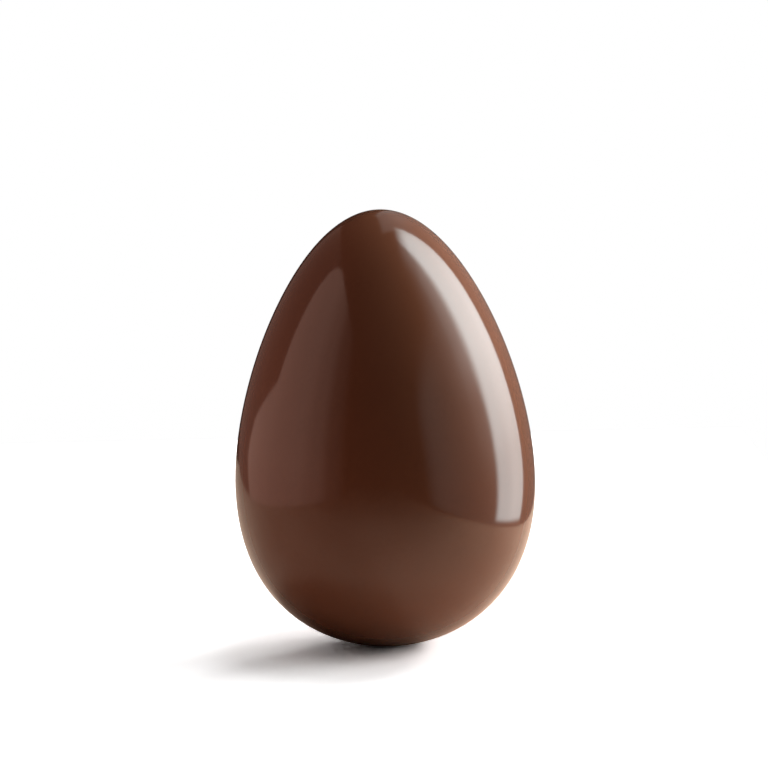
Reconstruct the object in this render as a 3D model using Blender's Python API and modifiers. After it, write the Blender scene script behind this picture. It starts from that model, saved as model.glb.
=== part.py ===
"""Chocolate Easter egg, moulded in one piece and standing on its blunt end.

Metres, +Z up. The origin is the middle of the foot, the small flat spot that the egg rests on.
"""

import math

import bpy

# Driving dimensions
HEIGHT = 0.120  # foot to tip
WIDTH = 0.0826  # greatest diameter
FOOT_RADIUS = 0.0065  # the flat spot under the blunt end

# How an egg differs from an ellipsoid, as shares of its half-width
TAPER = 0.253  # narrows the tip and swells the blunt end
FULLNESS = 0.050  # rounds out both ends

# Fineness of the surface
SEGMENTS = 88  # around the axis
RINGS = 48  # from the foot to the tip

# Chocolate's finish
CHOCOLATE_COLOUR = (0.156, 0.054, 0.028)  # linear RGB
CHOCOLATE_ROUGHNESS = 0.12
CHOCOLATE_IOR = 1.46

SEARCH_STEPS = 60  # halvings, which find a place on the profile to the last digit


def clear_scene():
    """Remove every object that the file opened with."""
    for obj in list(bpy.data.objects):
        bpy.data.objects.remove(obj)


def egg_factor(along):
    """Half-width of a unit egg at a place along its axis, from -1 at the blunt end to 1 at the tip."""
    ellipse = math.sqrt(max(0.0, 1.0 - along * along))
    return ellipse * (1.0 - TAPER * along + FULLNESS * along * along)


def widest_factor():
    """The unit egg's greatest half-width, found by narrowing in on where it stops growing."""
    low, high = -1.0, 1.0
    for _ in range(SEARCH_STEPS):
        third = (high - low) / 3.0
        if egg_factor(low + third) < egg_factor(high - third):
            low += third
        else:
            high -= third
    return egg_factor(0.5 * (low + high))


def foot_place(half_width):
    """Where along the axis the blunt end is FOOT_RADIUS wide, which is where the flat spot cuts it."""
    low, high = -1.0, 0.0
    for _ in range(SEARCH_STEPS):
        middle = 0.5 * (low + high)
        if half_width * egg_factor(middle) < FOOT_RADIUS:
            low = middle
        else:
            high = middle
    return high


def egg_profile():
    """Radius and height of the egg's outline, from the tip down to the middle of its foot."""
    half_width = 0.5 * WIDTH / widest_factor()
    foot = foot_place(half_width)
    # Equal steps of the angle seen from the centre put the rings closer together at the ends.
    foot_angle = math.acos(foot)
    outline = []
    for ring in range(RINGS + 1):
        along = math.cos(foot_angle * ring / RINGS)
        height = HEIGHT * (along - foot) / (1.0 - foot)
        outline.append((half_width * egg_factor(along), height))
    outline[0] = (0.0, HEIGHT)
    outline[-1] = (FOOT_RADIUS, 0.0)
    outline.append((0.0, 0.0))
    return outline


def chocolate_material():
    """Milk chocolate with the gloss of a polished mould."""
    material = bpy.data.materials.new("milk_chocolate")
    material.use_nodes = True
    shader = material.node_tree.nodes["Principled BSDF"]
    shader.inputs["Base Color"].default_value = (*CHOCOLATE_COLOUR, 1.0)
    shader.inputs["Roughness"].default_value = CHOCOLATE_ROUGHNESS
    shader.inputs["IOR"].default_value = CHOCOLATE_IOR
    shader.inputs["Metallic"].default_value = 0.0
    return material


def turned_solid(name, outline, material, collection):
    """Turn a (radius, height) outline about the Z axis with a Screw modifier."""
    mesh = bpy.data.meshes.new(name)
    points = [(radius, 0.0, height) for radius, height in outline]
    edges = [(i, i + 1) for i in range(len(points) - 1)]
    mesh.from_pydata(points, edges, [])
    mesh.materials.append(material)
    solid = bpy.data.objects.new(name, mesh)
    collection.objects.link(solid)
    turn = solid.modifiers.new("Turn", "SCREW")
    turn.axis = "Z"
    turn.angle = math.tau
    turn.steps = SEGMENTS
    turn.render_steps = SEGMENTS
    turn.use_merge_vertices = True
    turn.merge_threshold = 0.00001
    turn.use_smooth_shade = True
    return solid


def main():
    clear_scene()
    collection = bpy.data.collections.new("chocolate_egg")
    bpy.context.scene.collection.children.link(collection)
    turned_solid("egg", egg_profile(), chocolate_material(), collection)


main()
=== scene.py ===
"""Chocolate Easter egg: the looks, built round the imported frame.

The egg's skin is made by Geometry Nodes from the frame's own height and width, and takes the place of the
coarser CAD solid. It stands on a white table in a small studio. Metres, +Z up, and the camera looks along +Y.
"""

import math

import bpy
from mathutils import Matrix, Vector


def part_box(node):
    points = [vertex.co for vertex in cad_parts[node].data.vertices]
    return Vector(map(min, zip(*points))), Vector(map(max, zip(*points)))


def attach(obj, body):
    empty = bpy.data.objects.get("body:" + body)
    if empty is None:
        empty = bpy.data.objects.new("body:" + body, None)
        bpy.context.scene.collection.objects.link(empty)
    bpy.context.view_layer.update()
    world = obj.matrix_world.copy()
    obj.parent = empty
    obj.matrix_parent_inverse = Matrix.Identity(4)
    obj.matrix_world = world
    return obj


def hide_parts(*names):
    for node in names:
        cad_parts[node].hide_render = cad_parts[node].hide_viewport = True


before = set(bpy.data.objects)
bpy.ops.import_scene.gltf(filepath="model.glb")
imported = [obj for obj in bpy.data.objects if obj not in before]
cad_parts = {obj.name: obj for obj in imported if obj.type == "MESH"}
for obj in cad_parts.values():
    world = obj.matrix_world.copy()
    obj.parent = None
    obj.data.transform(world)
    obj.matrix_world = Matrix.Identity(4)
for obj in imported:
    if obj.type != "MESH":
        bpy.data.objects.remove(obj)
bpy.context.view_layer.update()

MM = 0.001

# The egg's shape, as in the CAD solid
EGG_LOW, EGG_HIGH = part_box("egg")
HEIGHT = EGG_HIGH.z - EGG_LOW.z
WIDTH = EGG_HIGH.x - EGG_LOW.x
FOOT_RADIUS = 6.5 * MM
TAPER = 0.253
FULLNESS = 0.050

# Its skin
SKIN_SEGMENTS = 360
SKIN_RINGS = 240
RIPPLE_DEPTH = 0.04 * MM
RIPPLE_SIZE = 30 * MM
RIPPLE_SEED = 7.0
RIPPLE_START = 10 * MM

# The chocolate's tone, in soft clouds where its milk and cocoa aren't quite evenly mixed
CLOUD_SIZE = 20 * MM
CLOUD_DARK = "#6B402D"
CLOUD_MILKY = "#714431"

# Cocoa and milk grains are about 0.03 mm across, too fine to show, so they are drawn 1.2 mm across
FLECK_SIZE = 1.2 * MM
FLECK_COLOUR = "#6E422F"

# Its gloss as roughness, in patches where the shell let go of the mould a little sooner or later
RELEASE_SIZE = 24 * MM
GLOSSIEST = 0.085
DULLEST = 0.115

# Cocoa butter crystals are well under 0.1 mm, too fine to show, so their grain is drawn 1.5 mm across
GRAIN_SIZE = 1.5 * MM
GRAIN_REACH = 0.012

# Shallow dimples from the polish of the mould
DIMPLE_SIZE = 4 * MM
DIMPLE_DEPTH = 0.004 * MM
CHOCOLATE_IOR = 1.5

# The white table. Its near edge is just behind the camera, and its right edge just past the lamp's foot
TABLE_LEFT = -520 * MM
TABLE_RIGHT = 142 * MM
TABLE_FRONT = -900 * MM
TABLE_BACK = 400 * MM

# Its brightness to the camera and to the egg, with the middles of its brightest and its darkest part, which
# are a painted pool of light at the lamp's foot and a painted shadow under the egg
TABLE_TONE = 2.0
TABLE_BOUNCE = 1.9
TABLE_BOUNCE_COLOUR = "#FFE4CC"
LAMP_FOOT = (129 * MM, 18 * MM, 0.0)
PAINTED_SHADE_MIDDLE = (-18 * MM, -8 * MM, 0.0)

# Broad soft lights that fall on the table alone: azimuth, elevation and breadth in degrees, and strength
TABLE_LIGHTS = {
    "side_lamp": (96.8, 17.2, 38.6, 2.76),
    "low_lamp": (152.5, 8.9, 8.3, 1.92),
    "back_lamp": (137.6, 15.3, 15.4, 1.49),
    "backdrop": (220.0, 32.6, 112.0, 1.41),
    "ceiling": (150.0, 75.0, 15.0, 0.36),
}

# Upright panels that light the egg alone: azimuth in degrees, distance in millimetres and lean in degrees
LAMP_PLACE = (98, 130, 10.6)
CARD_PLACE = (-90, 250, 0)
WALL_PLACE = (-90, 260, 0)

# Their outlines, in millimetres across and up. Across runs to the right, as the camera sees them in the egg
LAMP_OUTLINE = [(-340, 0), (60, 0), (60, 356), (-340, 356)]
RIM_OUTLINE = [(60, 0), (420, 0), (420, 560), (34.5, 560), (34.5, 356), (60, 356)]
CARD_RIGHT = [(-140, 0), (480, 0), (480, 455), (60, 425)]
CARD_LEFT = [(12, 395), (-12, 350), (-30, 280), (-45, 135), (-56, 128), (-151, 78), (-175, 45)]
WALL_OUTLINE = [(-700, 0), (0, 0), (0, 450), (-700, 450)]

# Their strengths, of which 1 is white, and their colours
LAMP_STRIP = 9.0
LAMP_HAZE = 2.3
LAMP_BASE = 0.36
RIM = 0.62
CARD = 1.06
WALL = 0.18
PLAIN_WHITE = "#FFFFFF"
COOL_WHITE = "#F4FFFF"
WARM_WHITE = "#FFD3C3"

# How far the lamp's strip leans over to the right at its top
STRIP_LEAN = 28 * MM

# What the egg sees past the table and the panels, and what the camera sees there
ROOM_LIGHT = 0.012
BACKDROP_LIGHT = 1.0

# The camera: its elevation and roll in degrees, and its lens in millimetres
CAMERA_DISTANCE = 900 * MM
CAMERA_ELEVATION = 8.0
CAMERA_SIDE = 0.26 * MM
CAMERA_AIM = 72 * MM
CAMERA_ROLL = 1.28
CAMERA_LENS = 153.3


def linear(colour):
    """An sRGB hex colour, such as #69371F, as the linear RGBA that shaders take."""
    channels = [int(colour[i : i + 2], 16) / 255 for i in (1, 3, 5)]
    return [c / 12.92 if c <= 0.04045 else ((c + 0.055) / 1.055) ** 2.4 for c in channels] + [1.0]


def add(tree, kind, inputs=None, **settings):
    """Add a node with its settings, and give each named input a value or a link."""
    node = tree.nodes.new(kind)
    for name, value in settings.items():
        setattr(node, name, value)
    for key, value in (inputs or {}).items():
        if isinstance(value, bpy.types.NodeSocket):
            tree.links.new(value, node.inputs[key])
        else:
            node.inputs[key].default_value = value
    return node


def egg_factor(along):
    """Half-width of a unit egg at a place along its axis, from -1 at the blunt end to 1 at the tip."""
    return math.sqrt(max(0.0, 1.0 - along * along)) * (1.0 - TAPER * along + FULLNESS * along * along)


def narrowed(low, high, keep_low):
    """Halve a span of the axis again and again, always keeping the half that keep_low points to."""
    for _ in range(60):
        middle = 0.5 * (low + high)
        if keep_low(middle):
            high = middle
        else:
            low = middle
    return 0.5 * (low + high)


def egg_outline(tree, given, ball):
    """Draw the unit ball out to the egg, flat under its foot."""
    position = add(tree, "GeometryNodeInputPosition").outputs[0]
    along = add(tree, "ShaderNodeSeparateXYZ", {0: position}).outputs["Z"]

    # Half-width: the ball's own, narrowed towards the tip by Taper and rounded out at both ends by Fullness
    rounded = add(tree, "ShaderNodeMath", {0: given["Fullness"], 1: along}, operation="MULTIPLY").outputs[0]
    tapered = add(tree, "ShaderNodeMath", {0: rounded, 1: given["Taper"]}, operation="SUBTRACT").outputs[0]
    swollen = add(tree, "ShaderNodeMath", {0: tapered, 1: along, 2: 1.0}, operation="MULTIPLY_ADD").outputs[0]
    real_size = {0: swollen, 1: given["Half Width"]}
    spread = add(tree, "ShaderNodeMath", real_size, operation="MULTIPLY").outputs[0]
    widths = add(tree, "ShaderNodeCombineXYZ", {"X": spread, "Y": spread}).outputs[0]

    # Height above the foot: what would lie below the foot is pressed flat
    rise = {"Value": along, "From Min": given["Foot"], "From Max": 1.0, "To Max": given["Height"]}
    height = add(tree, "ShaderNodeMapRange", rise).outputs[0]
    raised = add(tree, "ShaderNodeCombineXYZ", {"Z": height}).outputs[0]
    drawn = {0: position, 1: widths, 2: raised}
    shaped = add(tree, "ShaderNodeVectorMath", drawn, operation="MULTIPLY_ADD").outputs[0]
    return add(tree, "GeometryNodeSetPosition", {"Geometry": ball, "Position": shaped}).outputs[0]


def rippled(tree, given, egg):
    """Give the egg long soft swells. They fade out towards its foot, so that it stays flat."""
    position = add(tree, "GeometryNodeInputPosition").outputs[0]
    height = add(tree, "ShaderNodeSeparateXYZ", {0: position}).outputs["Z"]
    scale = add(tree, "ShaderNodeMath", {0: 1.0, 1: given["Ripple Size"]}, operation="DIVIDE").outputs[0]
    pattern = {"Vector": position, "W": given["Ripple Seed"], "Scale": scale, "Detail": 1.0, "Roughness": 0.4}
    noise = add(tree, "ShaderNodeTexNoise", pattern, noise_dimensions="4D").outputs[0]
    reach = {"Value": noise, "From Min": 0.25, "From Max": 0.75, "To Min": -1.0, "To Max": 1.0}
    swell = add(tree, "ShaderNodeMapRange", reach, clamp=False).outputs[0]
    fade = {"Value": height, "From Max": given["Ripple Start"], "To Max": given["Ripple Depth"]}
    depth = add(tree, "ShaderNodeMapRange", fade).outputs[0]
    push = add(tree, "ShaderNodeMath", {0: swell, 1: depth}, operation="MULTIPLY").outputs[0]
    normal = add(tree, "GeometryNodeInputNormal").outputs[0]
    offset = add(tree, "ShaderNodeVectorMath", {0: normal, "Scale": push}, operation="SCALE").outputs[0]
    return add(tree, "GeometryNodeSetPosition", {"Geometry": egg, "Offset": offset}).outputs[0]


def egg_tree(half_width, foot, material):
    """Geometry Nodes for the egg's skin, with the values of the tree's inputs."""
    tree = bpy.data.node_groups.new("Moulded egg", "GeometryNodeTree")
    sizes = {
        "Height": ("NodeSocketFloat", HEIGHT),
        "Half Width": ("NodeSocketFloat", half_width),
        "Taper": ("NodeSocketFloat", TAPER),
        "Fullness": ("NodeSocketFloat", FULLNESS),
        "Foot": ("NodeSocketFloat", foot),
        "Segments": ("NodeSocketInt", SKIN_SEGMENTS),
        "Rings": ("NodeSocketInt", SKIN_RINGS),
        "Ripple Depth": ("NodeSocketFloat", RIPPLE_DEPTH),
        "Ripple Size": ("NodeSocketFloat", RIPPLE_SIZE),
        "Ripple Seed": ("NodeSocketFloat", RIPPLE_SEED),
        "Ripple Start": ("NodeSocketFloat", RIPPLE_START),
        "Chocolate": ("NodeSocketMaterial", material),
    }
    for name, (kind, _) in sizes.items():
        tree.interface.new_socket(name, in_out="INPUT", socket_type=kind)
    tree.interface.new_socket("Egg", in_out="OUTPUT", socket_type="NodeSocketGeometry")
    given = add(tree, "NodeGroupInput").outputs
    unit = {"Segments": given["Segments"], "Rings": given["Rings"], "Radius": 1.0}
    ball = add(tree, "GeometryNodeMeshUVSphere", unit).outputs["Mesh"]
    egg = rippled(tree, given, egg_outline(tree, given, ball))
    smooth = add(tree, "GeometryNodeSetShadeSmooth", {"Geometry": egg}).outputs[0]
    real = add(tree, "GeometryNodeRealizeInstances", {"Geometry": smooth}).outputs[0]
    dress = {"Geometry": real, "Material": given["Chocolate"]}
    dressed = add(tree, "GeometryNodeSetMaterial", dress).outputs[0]
    add(tree, "NodeGroupOutput", {"Egg": dressed})
    return tree, {name: value for name, (_, value) in sizes.items()}


def modelled(name, tree, values):
    """A plain mesh object made by a Geometry Nodes tree with the values of its named inputs."""
    host = bpy.data.objects.new(name + "_host", bpy.data.meshes.new(name + "_host"))
    bpy.context.scene.collection.objects.link(host)
    modifier = host.modifiers.new("Shape", "NODES")
    modifier.node_group = tree
    for item in tree.interface.items_tree:
        if item.in_out == "INPUT":
            modifier[item.identifier] = values[item.name]
    depsgraph = bpy.context.evaluated_depsgraph_get()
    mesh = bpy.data.meshes.new_from_object(host.evaluated_get(depsgraph), depsgraph=depsgraph)
    bpy.data.objects.remove(host)
    mesh.name = name
    piece = bpy.data.objects.new(name, mesh)
    bpy.context.scene.collection.objects.link(piece)
    return piece


def blank_material(name):
    """A new material with an empty node tree, and that tree."""
    material = bpy.data.materials.new(name)
    material.use_nodes = True
    material.node_tree.nodes.clear()
    return material, material.node_tree


def drift(tree, place, size, detail, low, high):
    """A value that wanders between low and high in patches of the given size."""
    noise = add(tree, "ShaderNodeTexNoise", {"Vector": place, "Scale": 1.0 / size, "Detail": detail})
    reach = {"Value": noise.outputs[0], "From Min": 0.3, "From Max": 0.7, "To Min": low, "To Max": high}
    return add(tree, "ShaderNodeMapRange", reach).outputs[0]


def milk_chocolate():
    """Tempered milk chocolate, cast in a polished polycarbonate mould.

    The mould leaves a hard, mirror-like gloss. Milk and cocoa cloud its warm brown a little, and the
    shrinkage as it sets leaves the gloss faintly uneven.
    """
    material, tree = blank_material("moulded_milk_chocolate")
    place = add(tree, "ShaderNodeTexCoord").outputs["Object"]

    # Tone: soft clouds of darker and milkier brown, with fine flecks
    clouds = drift(tree, place, CLOUD_SIZE, 2.0, 0.0, 1.0)
    flecks = drift(tree, place, FLECK_SIZE, 1.0, 0.0, 1.0)
    browns = {"Factor": clouds, 6: linear(CLOUD_DARK), 7: linear(CLOUD_MILKY)}
    cloudy = add(tree, "ShaderNodeMix", browns, data_type="RGBA")
    flecked = {"Factor": flecks, 6: cloudy.outputs[2], 7: linear(FLECK_COLOUR)}
    tone = add(tree, "ShaderNodeMix", flecked, data_type="RGBA")

    # Gloss: a little duller where the shell let go of the mould early
    patches = drift(tree, place, RELEASE_SIZE, 1.0, GLOSSIEST, DULLEST)
    grain = drift(tree, place, GRAIN_SIZE, 2.0, -GRAIN_REACH, GRAIN_REACH)
    roughness = add(tree, "ShaderNodeMath", {0: patches, 1: grain}, operation="ADD")

    # Skin: dimples a few thousandths of a millimetre deep, which soften the edges of reflections
    dimples = drift(tree, place, DIMPLE_SIZE, 1.0, 0.0, 1.0)
    skin = add(tree, "ShaderNodeBump", {"Height": dimples, "Distance": DIMPLE_DEPTH, "Strength": 1.0})
    finish = {
        "Base Color": tone.outputs[2],
        "Roughness": roughness.outputs[0],
        "IOR": CHOCOLATE_IOR,
        "Normal": skin.outputs[0],
    }
    shader = add(tree, "ShaderNodeBsdfPrincipled", finish)
    add(tree, "ShaderNodeOutputMaterial", {"Surface": shader.outputs[0]})
    return material


def ramp(tree, value, *stops):
    """A level from 0 to 1 that eases from stop to stop. A stop is a place in millimetres and its level."""
    low, high = stops[0][0], stops[-1][0]
    reach = add(tree, "ShaderNodeMapRange", {"Value": value, "From Min": low * MM, "From Max": high * MM})
    node = add(tree, "ShaderNodeValToRGB", {"Fac": reach.outputs[0]})
    node.color_ramp.interpolation = "EASE"
    for _ in stops[2:]:
        node.color_ramp.elements.new(0.5)
    for element, (place, level) in zip(node.color_ramp.elements, stops):
        element.position = (place - low) / (high - low)
        element.color = (level, level, level, 1.0)
    return node.outputs["Color"]


def lit_patch(tree, under, across, up, strength):
    """A patch of light laid over the light under it. Its level is one ramp times the other."""
    level = add(tree, "ShaderNodeMath", {0: across, 1: up}, operation="MULTIPLY").outputs[0]
    return add(tree, "ShaderNodeMath", {0: level, 1: strength, 2: under}, operation="MULTIPLY_ADD").outputs[0]


def painted_table_bounce(tree):
    """The table's colour as the egg sees it, with painted light and painted shade.

    It is strongest at the lamp's foot as a painted pool of light, falls off towards the camera as painted
    falloff, and is weak under the egg as a painted shadow.
    """
    place = add(tree, "ShaderNodeTexCoord").outputs["Object"]
    from_lamp = add(tree, "ShaderNodeVectorMath", {0: place, 1: LAMP_FOOT}, operation="DISTANCE")
    from_shade = add(tree, "ShaderNodeVectorMath", {0: place, 1: PAINTED_SHADE_MIDDLE}, operation="DISTANCE")
    to_back = add(tree, "ShaderNodeSeparateXYZ", {0: place}).outputs["Y"]
    # Painted light and shade in the table's colour: a pool of light round the lamp's foot, a shadow under the
    # egg, and a falloff towards the camera
    falling = [(0, 1.0), (50, 0.84), (100, 0.78), (190, 0.47), (300, 0.4), (450, 0.3)]
    spread = ramp(tree, from_lamp.outputs["Value"], *falling)
    shade = ramp(tree, from_shade.outputs["Value"], (0, 0.1), (24, 0.42), (48, 1.0))
    near = ramp(tree, to_back, (-450, 0.2), (-240, 0.36), (-110, 0.74), (-40, 1.0))
    level = lit_patch(tree, 0.0, lit_patch(tree, 0.0, shade, near, TABLE_BOUNCE), spread, 1.0)
    tint = {0: linear(TABLE_BOUNCE_COLOUR)[:3], "Scale": level}
    return add(tree, "ShaderNodeVectorMath", tint, operation="SCALE").outputs[0]


def laminate_with_painted_bounce():
    """Matt white laminate, pressed without gloss, so that the egg leaves a shadow on it and no reflection.

    The camera sees it lit past white, with only the shadow showing. The egg sees it in a colour with a
    painted pool of light by the lamp's foot and a painted shadow under the egg.
    """
    material, tree = blank_material("laminate_with_painted_bounce")
    camera_ray = add(tree, "ShaderNodeLightPath").outputs["Is Camera Ray"]
    # Camera rays see an even white; other rays see the table's colour with painted light and painted shade
    seen = {"Factor": camera_ray, 4: painted_table_bounce(tree), 5: [TABLE_TONE] * 3}
    tone = add(tree, "ShaderNodeMix", seen, data_type="VECTOR")
    shader = add(tree, "ShaderNodeBsdfDiffuse", {"Color": tone.outputs[1]})
    add(tree, "ShaderNodeOutputMaterial", {"Surface": shader.outputs[0]})
    return material


def flat_face(name, corners, material):
    """A flat face with the given corners."""
    mesh = bpy.data.meshes.new(name)
    mesh.from_pydata([(x, y, 0.0) for x, y in corners], [], [range(len(corners))])
    mesh.materials.append(material)
    face = bpy.data.objects.new(name, mesh)
    bpy.context.scene.collection.objects.link(face)
    return face


def table():
    """The white table that the egg stands on."""
    front = [(TABLE_LEFT, TABLE_FRONT), (TABLE_RIGHT, TABLE_FRONT)]
    back = [(TABLE_RIGHT, TABLE_BACK), (TABLE_LEFT, TABLE_BACK)]
    return flat_face("table", front + back, laminate_with_painted_bounce())


def light_only(light, receiver):
    """Let a light fall on one object alone."""
    lit = bpy.data.collections.new("lit_by_" + light.name)
    lit.objects.link(receiver)
    light.light_linking.receiver_collection = lit


def panel(name, receiver, place, outline, glow, colour):
    """An upright light panel that faces the egg and lights one object alone.

    It shows in the reflections of that object. The camera looks through it, and it casts no shadow.
    """
    azimuth, distance, lean = place
    bearing, tilt = math.radians(azimuth), math.radians(lean)
    out = Vector((math.sin(bearing), -math.cos(bearing), 0.0))
    side = Vector((math.cos(bearing), math.sin(bearing), 0.0))
    up = math.cos(tilt) * Vector((0.0, 0.0, 1.0)) - math.sin(tilt) * out
    material, tree = blank_material(name)
    spot = add(tree, "ShaderNodeSeparateXYZ", {0: add(tree, "ShaderNodeTexCoord").outputs["Object"]}).outputs
    shine = {"Color": linear(colour), "Strength": glow(tree, spot["X"], spot["Y"])}
    shader = add(tree, "ShaderNodeEmission", shine)
    add(tree, "ShaderNodeOutputMaterial", {"Surface": shader.outputs[0]})
    light = flat_face(name, [(u * MM, v * MM) for u, v in outline], material)
    turn = Matrix((side, up, side.cross(up))).transposed().to_4x4()
    light.matrix_world = Matrix.Translation(out * distance * MM) @ turn
    light.visible_camera = False
    light.visible_shadow = False
    light_only(light, receiver)


def rim_glow(tree, across, up):
    """The pale wall on the right of the lamp, brighter towards its top."""
    fade = ramp(tree, across, (34.5, 1.0), (120, 1.0), (230, 0.7), (420, 0.7))
    low_wall = [(0, 0.2), (60, 0.22), (130, 0.38), (200, 0.42)]
    high_wall = [(280, 0.85), (450, 0.92), (560, 0.9)]
    return lit_patch(tree, 0.0, fade, ramp(tree, up, *low_wall, *high_wall), RIM)


def lamp_glow(tree, across, up):
    """The lamp's bright strip, with a crisp right edge at 34 to 36 mm, and what shows on each side of it."""
    # A dim base, wide and low
    base = ramp(tree, across, (-340, 0.0), (-190, 1.0), (34.5, 0.7), (36, 0.0))
    base_height = ramp(tree, up, (0, 0.9), (150, 1.0), (215, 0.0))
    glow = lit_patch(tree, 0.0, base, base_height, LAMP_BASE)

    # The haze that the strip throws to its left
    haze_left = [(-115, 0.0), (-90, 0.1), (-75, 0.25), (-60, 0.65)]
    haze_right = [(-45, 1.0), (-30, 1.0), (0, 0.0)]
    haze = ramp(tree, across, *haze_left, *haze_right)
    haze_foot = [(30, 0.05), (90, 0.35), (130, 0.9), (175, 1.0)]
    haze_top = [(205, 1.0), (250, 0.6), (350, 0.0)]
    glow = lit_patch(tree, glow, haze, ramp(tree, up, *haze_foot, *haze_top), LAMP_HAZE)

    # The strip low down, crisp on both sides
    low_strip = ramp(tree, across, (-43, 0.0), (-31, 0.96), (-5, 0.83), (34, 0.52), (36, 0.0))
    low_height = ramp(tree, up, (3, 0.0), (9, 0.6), (60, 0.62), (140, 0.0))
    glow = lit_patch(tree, glow, low_strip, low_height, LAMP_STRIP)

    # The strip higher up, softer on its left, and leaning over to the right towards its top
    leaning = ramp(tree, up, (200, 0.0), (250, 0.12), (285, 0.4), (352, 1.0))
    lean = add(tree, "ShaderNodeMath", {0: leaning, 1: STRIP_LEAN}, operation="MULTIPLY").outputs[0]
    leaned = add(tree, "ShaderNodeMath", {0: across, 1: lean}, operation="SUBTRACT").outputs[0]
    high_strip = ramp(tree, leaned, (-47, 0.0), (-24, 0.9), (-5, 0.97), (15, 0.84), (34, 0.63), (36, 0.0))
    high_height = ramp(tree, up, (50, 0.0), (140, 0.98), (155, 1.0), (250, 1.0), (352, 0.0))
    glow = lit_patch(tree, glow, high_strip, high_height, LAMP_STRIP)

    # The pale wall, from the crisp edge on
    beside = ramp(tree, across, (34.5, 0.0), (36, 1.0))
    return lit_patch(tree, glow, beside, rim_glow(tree, across, up), 1.0)


def card_glow(tree, across, up):
    """The warm card, which fades out to the right, where it comes near the camera."""
    left_part = [(-175, 0.8), (-60, 0.93), (-40, 1.0)]
    right_part = [(100, 1.0), (200, 0.7), (300, 0.25), (480, 0.02)]
    fade = ramp(tree, across, *left_part, *right_part)
    return lit_patch(tree, 0.0, fade, ramp(tree, up, (0, 0.85), (80, 1.0), (455, 1.0)), CARD)


def wall_glow(tree, across, up):
    """The dim wall behind the card, the same all over."""
    return WALL


def sun(name, receiver, azimuth, elevation, breadth, energy):
    """A broad soft light from far away that falls on one object alone."""
    data = bpy.data.lights.new(name, "SUN")
    data.energy = energy
    data.angle = math.radians(breadth)
    # With it, several broad lights that fall on one object alone come out too dim together
    data.cycles.use_multiple_importance_sampling = False
    light = bpy.data.objects.new(name, data)
    bpy.context.scene.collection.objects.link(light)
    bearing, rise = math.radians(azimuth), math.radians(elevation)
    ray = Vector((math.sin(bearing) * math.cos(rise), -math.cos(bearing) * math.cos(rise), math.sin(rise)))
    light.matrix_world = ray.to_track_quat("Z", "Y").to_matrix().to_4x4()
    light_only(light, receiver)


def room():
    """The room round the table: bright behind the egg to the camera, and dark in the egg's reflections."""
    world = bpy.data.worlds.new("studio")
    bpy.context.scene.world = world
    world.use_nodes = True
    tree = world.node_tree
    tree.nodes.clear()
    camera_ray = add(tree, "ShaderNodeLightPath").outputs["Is Camera Ray"]
    seen = {"Factor": camera_ray, "A": ROOM_LIGHT, "B": BACKDROP_LIGHT}
    tone = add(tree, "ShaderNodeMix", seen, data_type="FLOAT").outputs["Result"]
    background = add(tree, "ShaderNodeBackground", {"Color": linear(PLAIN_WHITE), "Strength": tone})
    add(tree, "ShaderNodeOutputWorld", {"Surface": background.outputs[0]})
    bpy.context.scene.view_settings.view_transform = "Standard"


def studio(egg, table_top):
    """A tall lamp close on the right, a warm card on the left, and a dim white room round them."""
    panel("lamp", egg, LAMP_PLACE, LAMP_OUTLINE, lamp_glow, COOL_WHITE)
    panel("rim", egg, LAMP_PLACE, RIM_OUTLINE, rim_glow, PLAIN_WHITE)
    panel("card", egg, CARD_PLACE, CARD_RIGHT + CARD_LEFT, card_glow, WARM_WHITE)
    panel("wall", egg, WALL_PLACE, WALL_OUTLINE, wall_glow, WARM_WHITE)
    for name, settings in TABLE_LIGHTS.items():
        sun(name, table_top, *settings)
    room()


def place_camera():
    """Look slightly down on the egg from the front, with a long lens and a slight roll."""
    elevation = math.radians(CAMERA_ELEVATION)
    centre = Vector((CAMERA_SIDE, 0.0, 0.5 * HEIGHT))
    place = centre + CAMERA_DISTANCE * Vector((0.0, -math.cos(elevation), math.sin(elevation)))
    aim = Vector((CAMERA_SIDE, 0.0, CAMERA_AIM))
    data = bpy.data.cameras.new("camera")
    data.lens = CAMERA_LENS
    data.sensor_width = 36.0
    camera = bpy.data.objects.new("camera", data)
    bpy.context.scene.collection.objects.link(camera)
    look = (aim - place).to_track_quat("-Z", "Y").to_matrix().to_4x4()
    roll = Matrix.Rotation(math.radians(-CAMERA_ROLL), 4, "Z")
    camera.matrix_world = Matrix.Translation(place) @ look @ roll
    bpy.context.scene.camera = camera


def dress_egg():
    """Make the egg's skin and put it in place of the CAD solid."""
    widest = narrowed(-1.0, 0.0, lambda a: egg_factor(a) > egg_factor(a + 1e-6))
    half_width = 0.5 * WIDTH / egg_factor(widest)
    foot = narrowed(-1.0, 0.0, lambda a: half_width * egg_factor(a) > FOOT_RADIUS)
    tree, values = egg_tree(half_width, foot, milk_chocolate())
    egg = modelled("egg_skin", tree, values)
    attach(egg, "root")
    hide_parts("egg")
    return egg


place_camera()
studio(dress_egg(), table())
